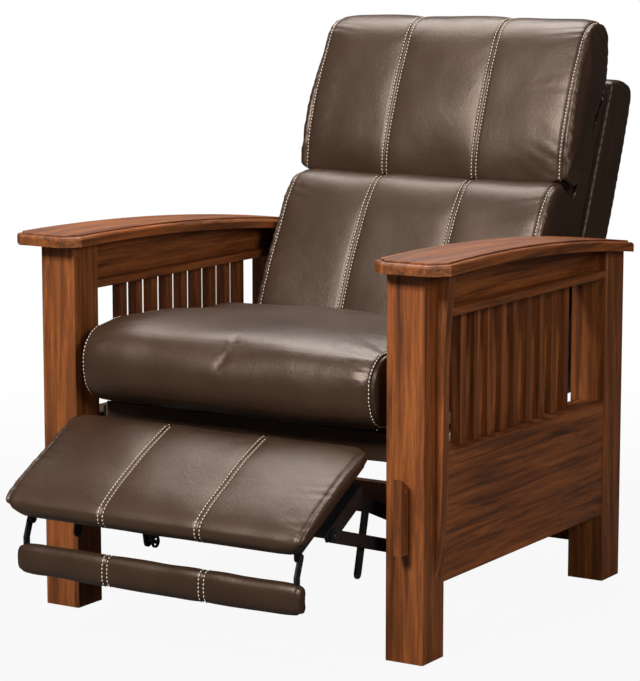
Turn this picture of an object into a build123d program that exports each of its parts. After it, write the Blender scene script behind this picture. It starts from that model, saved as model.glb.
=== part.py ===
from build123d import *
from math import atan2, cos, degrees, hypot, radians, sin, sqrt
import os

# A mission reclining armchair, in millimetres.
# It faces -Y and +X is the sitter's left. Lengths along Y are counted from the
# front face of the front posts, which lies at FACE_Y in the part's own frame.
FACE_Y = -368.0

# Wooden frame
HALF_WIDTH = 380.0
POST = 70.0
FRAME_DEPTH = 727.0
EASE = 3.0
GLIDE_HEIGHT = 4.0
BOARD = 19.0

# Bowed arms: the underside is one arc, highest at ARM_APEX
ARM_RADIUS = 5000.0
ARM_APEX = (100.0, 640.0)
ARM_FRONT = -28.0
ARM_REAR = 722.0
ARM_INNER = 290.0
ARM_OUTER_FRONT = 430.0
ARM_OUTER_REAR = 401.0
ARM_CLIP = 25.0
ARM_BAND = 17.0
ARM_FIELD = 3.0
ARM_BORDER = 8.0

# Side bays
PANEL_OUTER = 377.0
PANEL_Z = (127.0, 316.0)
LOWER_RAIL_X = (325.0, 377.0)
LOWER_RAIL_Z = (316.0, 336.0)
UPPER_RAIL_X = (312.0, 378.0)
UPPER_RAIL_Z = (559.0, 573.0)
SLAT_OUTER = 353.5
SLAT_COUNT = 9
SLAT_PITCH = 46.8
SLATS_MIDDLE = 364.5
CLEAT_X = (310.0, 334.0)
CLEAT_Z = (270.0, 316.0)
STRETCHER_Y = (680.0, 702.0)
STRETCHER_Z = (66.0, 128.0)

# Corbel on the outer face of each front post: (height, how far it stands out)
CORBEL_Y = (36.0, 55.0)
CORBEL_CURVE = [(660.0, 28.0), (610.0, 23.0), (522.0, 17.0), (395.0, 15.0), (195.0, 8.0)]
CORBEL_TOE_Z = 141.0

# Release lever on the front of the left front post
LEVER_X = (338.0, 354.0)
LEVER_Y = (-24.0, -2.5)
LEVER_Z = (185.0, 310.0)
LEVER_REAR_TOP = 296.0
LEVER_PIVOT = (-12.0, 289.0)
LEVER_PIN_RADIUS = 3.0
LEVER_EAR = 4.0

# Linkage: the steel lies in four layers, from the inner one outwards
STEEL = 4.0
LAYER_SCISSOR = 279.0
LAYER_DRIVE = 284.5
LAYER_SEAT = 290.0
LAYER_REAR = 295.5
LINK_HALF = 11.0
PIN = 4.0
RUNNING = 0.05
OPEN_PIVOT = 3.2

# Pivots in side view (y from the posts' face, z), in the photographed pose
DRIVE_PIVOT = (128.0, 337.0)
REAR_PIVOT = (150.0, 301.0)
CROSS_PIVOT = (145.0, 197.0)
STAY_PIVOT = (96.0, 167.0)
TAIL_PIVOT = (191.0, 88.0)
PAD_REAR_PIVOT = (-48.0, 275.0)
PAD_FRONT_PIVOT = (-127.0, 232.0)
FLIPPER_PIVOT = (-185.0, 206.0)
RECLINE_PIVOT = (560.0, 395.0)
LEG_TOP = (-12.0, 260.0)
LEG_END = (-38.0, 152.0)

# Seat carriage
TORQUE_RADIUS = 10.0
BASE_RAIL_X = 306.0
BASE_RAIL_Y = (80.0, 640.0)
BASE_RAIL_Z = (282.0, 352.0)
SLIDE_STUDS = [(215.0, 335.0), (520.0, 335.0)]
SLIDE_FORWARD = 42.0
SLIDE_BACK = 26.0
BUSH_RADIUS = 7.5
STUD_RADIUS = 5.0
SEAT_RAIL_Z = (320.0, 362.0)
FRONT_RAIL_Y = (62.0, 84.0)
REAR_RAIL_Y = (498.0, 520.0)
SIDE_RAIL_X = (244.0, 266.0)
CROSS_TUBE = (470.0, 300.0)
CROSS_TUBE_RADIUS = 12.5

# Upholstery
SEAT_HALF = 298.0
BACK_HALF = 280.0
SHELL_HALF = 284.0
FOOTREST_HALF = 294.0
FLIPPER_HALF = 281.0
SEAM_X = 95.0
SHELL_FOOT = (641.0, 325.0)
SHELL_TOP_Z = 900.0
SHELL_LEAN = 22.35
SHELL_DEPTH = 100.0
PAD_REAR_EDGE = (-24.0, 356.0)
PAD_SLOPE = 28.5
PAD_PLATE = 4.0
BOARD_ALONG = (14.0, 200.0)
BOARD_DEPTH = (32.0, 44.0)
BOARD_HALF = 262.0
EAR_X = 258.5
EAR_ALONG = (160.0, 218.0)
EAR_DEPTH = 56.0
STRAP_X = 264.0
STRAP_Y = -196.0
STRAP_HALF = 6.5
STRAP_PIN = 3.0
FLIPPER_FRONT = -212.0
FLIPPER_REAR = -187.0
FLIPPER_Z = (113.0, 168.0)
PANEL_Z_LIMITS = (360.0, 870.0)
PANEL_HALF = 252.0
PANEL_THICK = 14.0
BRACKET_HALF = 16.0

# Seat springs: waved wire from the front rail to the rear rail
SPRING_WIRE = 1.8
SPRING_X = (-196.0, -98.0, 0.0, 98.0, 196.0)
SPRING_SWING = 18.0
SPRING_BEND = 6.0
SPRING_START = 73.0
SPRING_TURNS = 36

SIDE = Plane(origin=(0, FACE_Y, 0), x_dir=(0, 1, 0), z_dir=(1, 0, 0))
PLAN = Plane(origin=(0, FACE_Y, 0))
FRONT = Plane(origin=(0, FACE_Y, 0), x_dir=(1, 0, 0), z_dir=(0, -1, 0))

os.makedirs("parts", exist_ok=True)


def save(piece, name):
    """Labels a finished piece and writes it."""
    piece.part.label = name
    export_step(piece.part, f"parts/{name}.step")


def save_both(piece, name):
    """Writes a left-hand piece and its mirror image."""
    save(piece, f"{name}_left")
    with BuildPart() as twin:
        add(piece.part)
        mirror(about=Plane.YZ, mode=Mode.REPLACE)
    save(twin, f"{name}_right")


def save_pair(piece, name):
    """Writes a piece and its mirror image as two solids of one group."""
    with BuildPart() as pair:
        add(piece.part)
        mirror(about=Plane.YZ)
    save(pair, name)


def rectangle_between(first, second):
    """A rectangle in the current sketch, between its low and high limits on both axes."""
    with Locations(((first[0] + first[1]) / 2, (second[0] + second[1]) / 2)):
        Rectangle(first[1] - first[0], second[1] - second[0])


def bar(x_limits, y_limits, z_limits, ease=0.0):
    """A straight bar, with the edges along its length eased."""
    with BuildPart() as piece:
        with BuildSketch(PLAN.offset(z_limits[0])):
            rectangle_between(x_limits, y_limits)
        extrude(amount=z_limits[1] - z_limits[0])
        if ease:
            spans = [x_limits, y_limits, z_limits]
            lengths = [high - low for low, high in spans]
            axis = [Axis.X, Axis.Y, Axis.Z][lengths.index(max(lengths))]
            fillet(piece.edges().filter_by(axis), ease)
    return piece


def arm_height(y):
    """Height of the arm's underside at y."""
    return ARM_APEX[1] - ARM_RADIUS + sqrt(ARM_RADIUS**2 - (y - ARM_APEX[0]) ** 2)


def arm_line(y_start, y_end, rise):
    """The arm's arc in the side plane, lifted by rise."""
    middle = (y_start + y_end) / 2
    ThreePointArc(
        (y_start, arm_height(y_start) + rise),
        (middle, arm_height(middle) + rise),
        (y_end, arm_height(y_end) + rise),
    )


def arm_layer(inset, low, high):
    """The arm's plan outline, drawn in by inset, between two arcs above the underside."""
    outer_slope = (ARM_OUTER_FRONT - ARM_OUTER_REAR) / (ARM_REAR - ARM_FRONT)
    front, rear = ARM_FRONT + inset, ARM_REAR - inset
    inner = ARM_INNER + inset
    outer_front = ARM_OUTER_FRONT - inset
    outer_rear = ARM_OUTER_REAR - inset
    clip = ARM_CLIP - 0.4 * inset
    with BuildPart() as layer:
        with BuildSketch(PLAN.offset(500)):
            with BuildLine():
                Polyline(
                    (inner, front + clip),
                    (inner + clip, front),
                    (outer_front - clip, front),
                    (outer_front - outer_slope * clip, front + clip),
                    (outer_rear, rear),
                    (inner, rear),
                    close=True,
                )
            make_face()
        extrude(amount=200)
        with BuildSketch(SIDE):
            with BuildLine():
                ends = (ARM_FRONT - 30, ARM_REAR + 30)
                arm_line(*ends, low)
                arm_line(*ends, high)
                for y in ends:
                    Line((y, arm_height(y) + low), (y, arm_height(y) + high))
            make_face()
        extrude(amount=500, mode=Mode.INTERSECT)
    return layer


# Everything above the arms' underside, used to trim what carries them
with BuildPart() as above_arm:
    with BuildSketch(SIDE.offset(250)):
        with BuildLine():
            arm_line(-60, 760, 0)
            Polyline((-60, arm_height(-60)), (-60, 720), (760, 720), (760, arm_height(760)))
        make_face()
    extrude(amount=250)

# Wooden frame
for name, y_limits in [("front_post", (0, POST)), ("rear_post", (FRAME_DEPTH - POST, FRAME_DEPTH))]:
    with BuildPart() as post:
        with BuildSketch(PLAN.offset(GLIDE_HEIGHT)):
            rectangle_between((HALF_WIDTH - POST, HALF_WIDTH), y_limits)
        extrude(amount=660)
        fillet(post.edges().filter_by(Axis.Z), EASE)
        add(above_arm.part, mode=Mode.SUBTRACT)
    save_both(post, name)

with BuildPart() as floor_glides:
    with BuildSketch(PLAN):
        with Locations((0, FRAME_DEPTH / 2)):
            with GridLocations(2 * HALF_WIDTH - POST, FRAME_DEPTH - POST, 2, 2):
                Circle(15)
    extrude(amount=GLIDE_HEIGHT)
    chamfer(floor_glides.edges().group_by(Axis.Z)[0], 1)
save(floor_glides, "floor_glides")

bay = (POST, FRAME_DEPTH - POST)
side_panel = bar((PANEL_OUTER - BOARD, PANEL_OUTER), bay, PANEL_Z, 1.5)
save_both(side_panel, "side_panel")
lower_rail = bar(LOWER_RAIL_X, bay, LOWER_RAIL_Z, 2)
save_both(lower_rail, "lower_rail")
upper_rail = bar(UPPER_RAIL_X, bay, UPPER_RAIL_Z, 2)
save_both(upper_rail, "upper_rail")
base_cleat = bar(CLEAT_X, bay, CLEAT_Z)
save_pair(base_cleat, "base_cleats")

with BuildPart() as slats:
    with BuildSketch(PLAN.offset(LOWER_RAIL_Z[1])):
        with Locations((SLAT_OUTER - BOARD / 2, SLATS_MIDDLE)):
            with GridLocations(BOARD, SLAT_PITCH, 1, SLAT_COUNT):
                Rectangle(BOARD, BOARD)
    extrude(amount=UPPER_RAIL_Z[0] - LOWER_RAIL_Z[1])
    fillet(slats.edges().filter_by(Axis.Z), 1)
save_both(slats, "slats")

with BuildPart() as arm_apron:
    with BuildSketch(PLAN.offset(UPPER_RAIL_Z[1])):
        rectangle_between((SLAT_OUTER - BOARD, SLAT_OUTER), bay)
    extrude(amount=100)
    add(above_arm.part, mode=Mode.SUBTRACT)
save_both(arm_apron, "arm_apron")

arm_field = arm_layer(ARM_BORDER, ARM_BAND - 1, ARM_BAND + ARM_FIELD)
with BuildPart() as arm_board:
    add(arm_layer(0, 0, ARM_BAND).part)
    fillet(arm_board.faces().sort_by(Axis.Z)[-1].edges(), 5)
    add(arm_field.part)
save_both(arm_board, "arm_board")

with BuildPart() as corbel:
    with BuildSketch(FRONT.offset(-CORBEL_Y[1])):
        with BuildLine():
            outline = [(HALF_WIDTH + reach, z) for z, reach in CORBEL_CURVE]
            Spline(*outline, (HALF_WIDTH, CORBEL_TOE_Z))
            Polyline(outline[0], (HALF_WIDTH, outline[0][1]), (HALF_WIDTH, CORBEL_TOE_Z))
        make_face()
    extrude(amount=CORBEL_Y[1] - CORBEL_Y[0])
    add(above_arm.part, mode=Mode.SUBTRACT)
save_both(corbel, "corbel")

rear_stretcher = bar((POST - HALF_WIDTH, HALF_WIDTH - POST), STRETCHER_Y, STRETCHER_Z, 1.5)
save(rear_stretcher, "rear_stretcher")

# Release lever, slotted over a steel ear on the post
with BuildPart() as release_lever:
    with BuildSketch(SIDE.offset(LEVER_X[0])):
        with BuildLine():
            Polyline(
                (LEVER_Y[0], LEVER_Z[0]),
                (LEVER_Y[0], LEVER_Z[1]),
                (LEVER_Y[1], LEVER_REAR_TOP),
                (LEVER_Y[1], LEVER_Z[0]),
                close=True,
            )
        make_face()
    extrude(amount=LEVER_X[1] - LEVER_X[0])
    fillet(release_lever.edges().filter_by(Axis.Z), 1.5)
    ear_middle = (LEVER_X[0] + LEVER_X[1]) / 2
    with BuildSketch(SIDE.offset(ear_middle - LEVER_EAR / 2 - 0.6)):
        rectangle_between((LEVER_PIVOT[0] - 8, 0), (LEVER_PIVOT[1] - 20, LEVER_Z[1] + 5))
    extrude(amount=LEVER_EAR + 1.2, mode=Mode.SUBTRACT)
    with BuildSketch(SIDE.offset(LEVER_X[0])):
        with Locations(LEVER_PIVOT):
            Circle(LEVER_PIN_RADIUS)
    extrude(amount=LEVER_X[1] - LEVER_X[0], mode=Mode.SUBTRACT)
save(release_lever, "release_lever")

with BuildPart() as lever_pin:
    with BuildSketch(SIDE.offset(LEVER_X[0])):
        with Locations(LEVER_PIVOT):
            Circle(LEVER_PIN_RADIUS)
    extrude(amount=LEVER_X[1] - LEVER_X[0])
save(lever_pin, "lever_pin")

with BuildPart() as lever_ear:
    with BuildSketch(SIDE.offset(ear_middle - LEVER_EAR / 2)):
        with Locations(LEVER_PIVOT):
            Circle(7)
        rectangle_between((LEVER_PIVOT[0], 0), (LEVER_PIVOT[1] - 7, LEVER_PIVOT[1] + 7))
        with Locations(LEVER_PIVOT):
            Circle(LEVER_PIN_RADIUS + RUNNING, mode=Mode.SUBTRACT)
    extrude(amount=LEVER_EAR)
save(lever_ear, "lever_ear")


def strip(points, half_width):
    """A flat strip through these points, round at its ends and bends, in the current sketch."""
    for start, end in zip(points, points[1:]):
        length = hypot(end[0] - start[0], end[1] - start[1])
        turn = degrees(atan2(end[1] - start[1], end[0] - start[0]))
        with Locations(((start[0] + end[0]) / 2, (start[1] + end[1]) / 2)):
            SlotCenterToCenter(length, 2 * half_width, rotation=turn)


def holes(points, radius):
    """Round holes in the current sketch."""
    with Locations(*points):
        Circle(radius, mode=Mode.SUBTRACT)


def stud(point, radius, x_start, x_end):
    """A round stud across the layers, in the current part."""
    with BuildSketch(SIDE.offset(x_start)) as section:
        with Locations(point):
            Circle(radius)
    extrude(section.sketch, amount=x_end - x_start)


# Fixed side rails of the mechanism, with the slots that the seat carriage runs in
with BuildPart() as base_rail:
    with BuildSketch(SIDE.offset(BASE_RAIL_X)):
        rectangle_between(BASE_RAIL_Y, BASE_RAIL_Z)
        for y, z in SLIDE_STUDS:
            with Locations((y + (SLIDE_BACK - SLIDE_FORWARD) / 2, z)):
                SlotCenterToCenter(
                    SLIDE_FORWARD + SLIDE_BACK, 2 * (BUSH_RADIUS + 0.2), mode=Mode.SUBTRACT
                )
        holes([CROSS_TUBE], CROSS_TUBE_RADIUS)
    extrude(amount=STEEL)
save_both(base_rail, "base_rail")

with BuildPart() as base_cross_tube:
    with BuildSketch(SIDE.offset(-BASE_RAIL_X - STEEL)):
        with Locations(CROSS_TUBE):
            Circle(CROSS_TUBE_RADIUS)
            Circle(CROSS_TUBE_RADIUS - 2, mode=Mode.SUBTRACT)
    extrude(amount=2 * (BASE_RAIL_X + STEEL))
save(base_cross_tube, "base_cross_tube")

with BuildPart() as rail_bolts:
    for x_start in (BASE_RAIL_X - 2.5, -BASE_RAIL_X):
        with BuildSketch(SIDE.offset(x_start)):
            with Locations((110, 293), (300, 293), (610, 293)):
                RegularPolygon(6.5, 6)
        extrude(amount=2.5)
save(rail_bolts, "rail_bolts")

# Seat carriage
with BuildPart() as seat_plate:
    with BuildSketch(SIDE.offset(LAYER_SEAT)):
        strip([(90, 338), RECLINE_PIVOT[:1] + (338,)], 14)
        strip([DRIVE_PIVOT, REAR_PIVOT], 14)
        strip([(RECLINE_PIVOT[0], 338), RECLINE_PIVOT], 15)
        holes([DRIVE_PIVOT], TORQUE_RADIUS + RUNNING)
        holes([REAR_PIVOT, RECLINE_PIVOT], PIN + RUNNING)
        holes(SLIDE_STUDS, STUD_RADIUS)
    extrude(amount=STEEL)
save_both(seat_plate, "seat_plate")

with BuildPart() as slide_studs:
    for side in (1, -1):
        for point in SLIDE_STUDS:
            ends = sorted((side * LAYER_SEAT, side * (BASE_RAIL_X + 9)))
            stud(point, STUD_RADIUS, *ends)
save(slide_studs, "slide_studs")

with BuildPart() as slide_bushes:
    for side in (1, -1):
        for radius, x_in, x_out in [(11, 300, 305), (BUSH_RADIUS, 305, 311), (12, 311, 313)]:
            ends = sorted((side * x_in, side * x_out))
            with BuildSketch(SIDE.offset(ends[0])):
                with Locations(*SLIDE_STUDS):
                    Circle(radius)
                    Circle(STUD_RADIUS, mode=Mode.SUBTRACT)
            extrude(amount=ends[1] - ends[0])
save(slide_bushes, "slide_bushes")

rail_reach = LAYER_SEAT
seat_front_rail = bar((-rail_reach, rail_reach), FRONT_RAIL_Y, SEAT_RAIL_Z)
save(seat_front_rail, "seat_front_rail")
seat_rear_rail = bar((-rail_reach, rail_reach), REAR_RAIL_Y, SEAT_RAIL_Z)
save(seat_rear_rail, "seat_rear_rail")
with BuildPart() as seat_side_rail:
    with BuildSketch(SIDE.offset(SIDE_RAIL_X[0])):
        rectangle_between((FRONT_RAIL_Y[1], REAR_RAIL_Y[0]), SEAT_RAIL_Z)
        holes([DRIVE_PIVOT], TORQUE_RADIUS + 2)
    extrude(amount=SIDE_RAIL_X[1] - SIDE_RAIL_X[0])
save_pair(seat_side_rail, "seat_side_rails")

# Each spring is one wire, straight across and round a half circle in turn
spring_z = SEAT_RAIL_Z[1] + SPRING_WIRE
with BuildPart() as seat_springs:
    with BuildLine(PLAN.offset(spring_z)) as wire:
        y = SPRING_START
        side = -1
        Line((0, y), (side * SPRING_SWING, y))
        for turn in range(SPRING_TURNS):
            x = side * SPRING_SWING
            ThreePointArc(
                (x, y), (x + side * SPRING_BEND, y + SPRING_BEND), (x, y + 2 * SPRING_BEND)
            )
            y += 2 * SPRING_BEND
            side = -side
            last = turn == SPRING_TURNS - 1
            Line((x, y), (0 if last else side * SPRING_SWING, y))
    with BuildSketch(Plane(wire.line @ 0, z_dir=wire.line % 0)):
        Circle(SPRING_WIRE)
    sweep(path=wire.line)
with BuildPart() as spring_set:
    for x in SPRING_X:
        add(seat_springs.part.moved(Location((x, 0, 0))))
save(spring_set, "seat_springs")

front_band = bar((-SEAT_HALF + 12, SEAT_HALF - 12), (57, FRONT_RAIL_Y[0]), (317, 365), 2)
save(front_band, "front_band")

# Footrest linkage, in the photographed pose
with BuildPart() as torque_tube:
    with BuildSketch(SIDE.offset(-LAYER_SEAT - STEEL)):
        with Locations(DRIVE_PIVOT):
            Circle(TORQUE_RADIUS)
            Circle(TORQUE_RADIUS - 2, mode=Mode.SUBTRACT)
    extrude(amount=2 * (LAYER_SEAT + STEEL))
save(torque_tube, "torque_tube")

with BuildPart() as drive_link:
    with BuildSketch(SIDE.offset(LAYER_DRIVE)):
        strip([DRIVE_PIVOT, CROSS_PIVOT, STAY_PIVOT], LINK_HALF)
        with Locations(DRIVE_PIVOT):
            Circle(15)
        holes([DRIVE_PIVOT], TORQUE_RADIUS)
        holes([CROSS_PIVOT], PIN + RUNNING)
    extrude(amount=STEEL)
    stud(STAY_PIVOT, PIN, LAYER_DRIVE, LAYER_SEAT + STEEL + 1)
save_both(drive_link, "drive_link")

with BuildPart() as rear_link:
    with BuildSketch(SIDE.offset(LAYER_REAR)):
        strip([REAR_PIVOT, TAIL_PIVOT], LINK_HALF)
    extrude(amount=STEEL)
    stud(REAR_PIVOT, PIN, LAYER_SEAT, LAYER_REAR)
    stud(TAIL_PIVOT, PIN, LAYER_SCISSOR - 1, LAYER_REAR)
save_both(rear_link, "rear_link")

with BuildPart() as scissor_link:
    with BuildSketch(SIDE.offset(LAYER_SCISSOR)):
        strip([TAIL_PIVOT, CROSS_PIVOT, PAD_REAR_PIVOT], LINK_HALF)
        strip([LEG_TOP, LEG_END], LINK_HALF - 2)
        holes([TAIL_PIVOT], PIN + OPEN_PIVOT)
        holes([PAD_REAR_PIVOT], PIN + RUNNING)
    extrude(amount=STEEL)
    stud(CROSS_PIVOT, PIN, LAYER_SCISSOR, LAYER_DRIVE + STEEL)
save_both(scissor_link, "scissor_link")

with BuildPart() as stay_link:
    with BuildSketch(SIDE.offset(LAYER_SEAT)):
        strip([STAY_PIVOT, PAD_FRONT_PIVOT], LINK_HALF)
        holes([STAY_PIVOT], PIN + RUNNING)
        holes([PAD_FRONT_PIVOT], PIN + OPEN_PIVOT)
    extrude(amount=STEEL)
save_both(stay_link, "stay_link")


def on_pad(along, depth):
    """A point of the footrest's section: along its top from the rear edge, and depth below it."""
    slope = radians(PAD_SLOPE)
    y = PAD_REAR_EDGE[0] - along * cos(slope) + depth * sin(slope)
    z = PAD_REAR_EDGE[1] - along * sin(slope) - depth * cos(slope)
    return (y, z)


def outline(points, arcs, shrink, crown):
    """A closed side outline of a cushion, in the current line. Points in arcs are mid-arc.
    shrink draws the whole outline in towards its middle, and crown swells it from there."""
    middle_y = sum(p[0] for p in points) / len(points)
    middle_z = sum(p[1] for p in points) / len(points)
    placed = []
    for y, z, swell in points:
        away = hypot(y - middle_y, z - middle_z)
        reach = (1 - shrink) + crown * swell / away
        placed.append((middle_y + (y - middle_y) * reach, middle_z + (z - middle_z) * reach))
    corner = 0
    while corner < len(placed):
        after = (corner + 1) % len(placed)
        if after in arcs:
            end = (corner + 2) % len(placed)
            ThreePointArc(placed[corner], placed[after], placed[end])
            corner += 2
        else:
            Line(placed[corner], placed[after])
            corner += 1


def cushion(points, arcs, sections):
    """A cushion lofted across the chair. Each section is (x, shrink, crown), and both sides match."""
    stations = [(-x, shrink, crown) for x, shrink, crown in reversed(sections) if x]
    stations += sections
    with BuildPart() as piece:
        for x, shrink, crown in stations:
            with BuildSketch(SIDE.offset(x)):
                with BuildLine():
                    outline(points, arcs, shrink, crown)
                make_face()
        loft()
    return piece


# Footrest: padded board, steel brackets and the hinged front pad
def footrest_bar(along, depth):
    """A rectangle on the footrest's slope in the current sketch."""
    corners = [(along[0], depth[0]), (along[1], depth[0]), (along[1], depth[1]), (along[0], depth[1])]
    Polygon(*[on_pad(*corner) for corner in corners], align=None)


with BuildPart() as footrest_board:
    with BuildSketch(SIDE.offset(-BOARD_HALF)):
        footrest_bar(BOARD_ALONG, BOARD_DEPTH)
    extrude(amount=2 * BOARD_HALF)
save(footrest_board, "footrest_board")

# Section points are (along, depth, swell): the last says how much of the crown it takes
pad_section = [
    (-1, 7, 0.2), (8, 1, 0.5), (110, -3, 1.0), (200, -1, 1.0), (222, 2, 0.8),
    (236, 14, 0.5), (228, 38, 0.2), (220, 43.6, 0), (8, 43.6, 0), (0, 38, 0),
]
pad_points = [on_pad(along, depth) + (swell,) for along, depth, swell in pad_section]
with BuildPart() as footrest_pad:
    add(cushion(
        pad_points, [1, 3, 5, 9],
        [(0, 0, 5), (50, 0, 4), (SEAM_X, 0, 1), (140, 0, 4), (245, 0, 3),
         (283, 0.04, 1), (FOOTREST_HALF, 0.18, 0)],
    ).part)
    with BuildSketch(SIDE.offset(-BOARD_HALF)):
        footrest_bar(BOARD_ALONG, (BOARD_DEPTH[0], 2 * BOARD_DEPTH[1]))
    extrude(amount=2 * BOARD_HALF, mode=Mode.SUBTRACT)
save(footrest_pad, "footrest_pad")

PLATE_DEPTH = (BOARD_DEPTH[1], BOARD_DEPTH[1] + PAD_PLATE)
with BuildPart() as footrest_bracket:
    with BuildSketch(SIDE.offset(EAR_X)):
        footrest_bar((40, 170), PLATE_DEPTH)
    extrude(amount=LAYER_DRIVE + STEEL - EAR_X)
    with BuildSketch(SIDE.offset(LAYER_DRIVE)):
        footrest_bar((44, 166), (BOARD_DEPTH[1], 60))
        strip([PAD_REAR_PIVOT, PAD_FRONT_PIVOT], LINK_HALF)
    extrude(amount=STEEL)
    stud(PAD_REAR_PIVOT, PIN, LAYER_SCISSOR - 1, LAYER_DRIVE)
    stud(PAD_FRONT_PIVOT, PIN, LAYER_DRIVE, LAYER_SEAT + STEEL + 1)
    with BuildSketch(SIDE.offset(EAR_X)):
        footrest_bar(EAR_ALONG, (BOARD_DEPTH[1], EAR_DEPTH))
        with Locations(FLIPPER_PIVOT):
            Circle(8)
            Circle(STRAP_PIN + RUNNING, mode=Mode.SUBTRACT)
    extrude(amount=STEEL)
save_both(footrest_bracket, "footrest_bracket")

# Flipper: the narrow pad hung from the footrest's front on two bent straps
strap_foot = (STRAP_Y, FLIPPER_Z[0] + 20)
with BuildPart() as flipper_strap:
    with BuildSketch(SIDE.offset(STRAP_X)):
        strip([strap_foot, (STRAP_Y, FLIPPER_Z[1] + 8), FLIPPER_PIVOT], STRAP_HALF)
    extrude(amount=STEEL)
    stud(FLIPPER_PIVOT, STRAP_PIN, EAR_X - 1, STRAP_X)
save_pair(flipper_strap, "flipper_straps")

flipper_board = bar(
    (-STRAP_X, STRAP_X), (FLIPPER_REAR - 10, FLIPPER_REAR - 2), (FLIPPER_Z[0] + 8, FLIPPER_Z[1] - 8)
)
save(flipper_board, "flipper_board")

flipper_middle = (FLIPPER_Z[0] + FLIPPER_Z[1]) / 2
flipper_points = [
    (FLIPPER_FRONT + 4, FLIPPER_Z[1] - 4, 0.6), (FLIPPER_FRONT, flipper_middle, 1.0),
    (FLIPPER_FRONT + 4, FLIPPER_Z[0] + 4, 0.6), (-200, FLIPPER_Z[0], 0.3),
    (FLIPPER_REAR, FLIPPER_Z[0] + 3, 0), (FLIPPER_REAR, FLIPPER_Z[1] - 3, 0),
    (-200, FLIPPER_Z[1], 0.3),
]
with BuildPart() as flipper_pad:
    add(cushion(
        flipper_points, [1, 3, 6],
        [(0, 0, 2), (SEAM_X, 0, 0), (140, 0, 2), (240, 0, 2), (272, 0.03, 0), (FLIPPER_HALF, 0.16, 0)],
    ).part)
    add(flipper_board.part, mode=Mode.SUBTRACT)
    for x_start in (STRAP_X, -STRAP_X - STEEL):
        with BuildSketch(SIDE.offset(x_start)):
            strip([strap_foot, (STRAP_Y, FLIPPER_Z[1] + 20)], STRAP_HALF)
        extrude(amount=STEEL, mode=Mode.SUBTRACT)
save(flipper_pad, "flipper_pad")

# Seat cushion: a deep front roll over a flat bottom
seat_points = [
    (58, 368, 0), (-12, 390, 0.4), (-24, 440, 0.8), (0, 494, 1.0), (68, 511, 1.0),
    (250, 508, 1.0), (490, 470, 0.3), (484, 420, 0), (470, 370, 0),
]
seat_cushion = cushion(
    seat_points, [1, 3, 5, 7],
    [(0, 0, 7), (120, 0, 6), (230, 0, 3), (272, 0.01, 0), (291, 0.05, 0), (SEAT_HALF, 0.16, 0)],
)
save(seat_cushion, "seat_cushion")

# Back: shell, inner panel, two cushions and the steel brackets that carry it
LEAN = sin(radians(SHELL_LEAN)) / cos(radians(SHELL_LEAN))


def shell_front(z, gap=0.0):
    """Where the shell's front face lies at height z, less a gap."""
    return SHELL_FOOT[0] + (z - SHELL_FOOT[1]) * LEAN - gap


with BuildPart() as back_panel:
    with BuildSketch(SIDE.offset(-PANEL_HALF)):
        low, high = PANEL_Z_LIMITS
        with BuildLine():
            Polyline(
                (shell_front(low), low),
                (shell_front(high), high),
                (shell_front(high) + PANEL_THICK, high),
                (shell_front(low) + PANEL_THICK, low),
                close=True,
            )
        make_face()
    extrude(amount=2 * PANEL_HALF)
save(back_panel, "back_panel")

with BuildPart() as back_shell:
    with BuildSketch(SIDE.offset(-SHELL_HALF)):
        low, high = SHELL_FOOT[1], SHELL_TOP_Z
        with BuildLine():
            Polyline(
                (shell_front(low), low),
                (shell_front(high), high),
                (shell_front(high) + 52, high),
                (shell_front(high - 26) + SHELL_DEPTH, high - 26),
                (shell_front(low) + SHELL_DEPTH, low),
                close=True,
            )
        make_face()
    extrude(amount=2 * SHELL_HALF)
    rear_edges = back_shell.edges().filter_by(Axis.X).sort_by(Axis.Y)[-2:]
    fillet(rear_edges, 14)
    add(back_panel.part, mode=Mode.SUBTRACT)
save(back_shell, "back_shell")

lower_points = [
    (488, 410, 0), (545, 520, 1.0), (612, 648, 1.0), (655, 706, 1.0), (690, 722, 0.2),
    (724, 694, 0), (862, 897, 0), (shell_front(896, 2), 896, 0), (shell_front(412, 2), 412, 0),
    (500, 398, 0),
]
lower_back_cushion = cushion(
    lower_points, [1, 3],
    [(0, 0, 8), (50, 0, 7), (SEAM_X, 0, 2), (140, 0, 7), (225, 0, 5),
     (266, 0.01, 0), (BACK_HALF, 0.07, 0)],
)
save(lower_back_cushion, "lower_back_cushion")

head_points = [
    (692, 725, 0), (712, 822, 1.0), (760, 945, 1.0), (784, 989, 0.9), (826, 1003, 0.6),
    (862, 994, 0.3), (873, 955, 0), (864, 902, 0), (726, 699, 0),
]
headrest = cushion(
    head_points, [1, 3, 5],
    [(0, 0, 9), (50, 0, 8), (SEAM_X, 0, 3), (140, 0, 8), (225, 0, 5),
     (266, 0.02, 0), (BACK_HALF + 2, 0.14, 0)],
)
save(headrest, "headrest")

with BuildPart() as back_bracket:
    with BuildSketch(SIDE.offset(LAYER_DRIVE)):
        strip([RECLINE_PIVOT, (700, 430), (752, 552)], BRACKET_HALF)
    extrude(amount=STEEL)
    stud(RECLINE_PIVOT, PIN, LAYER_DRIVE, LAYER_SEAT + STEEL + 1)
save_both(back_bracket, "back_bracket")
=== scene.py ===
from math import cos, exp, pi, radians, sin, tan

import bmesh
import bpy
from bpy.props import FloatProperty, FloatVectorProperty, PointerProperty
from mathutils import Matrix, Vector, noise
from mathutils.bvhtree import BVHTree


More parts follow.
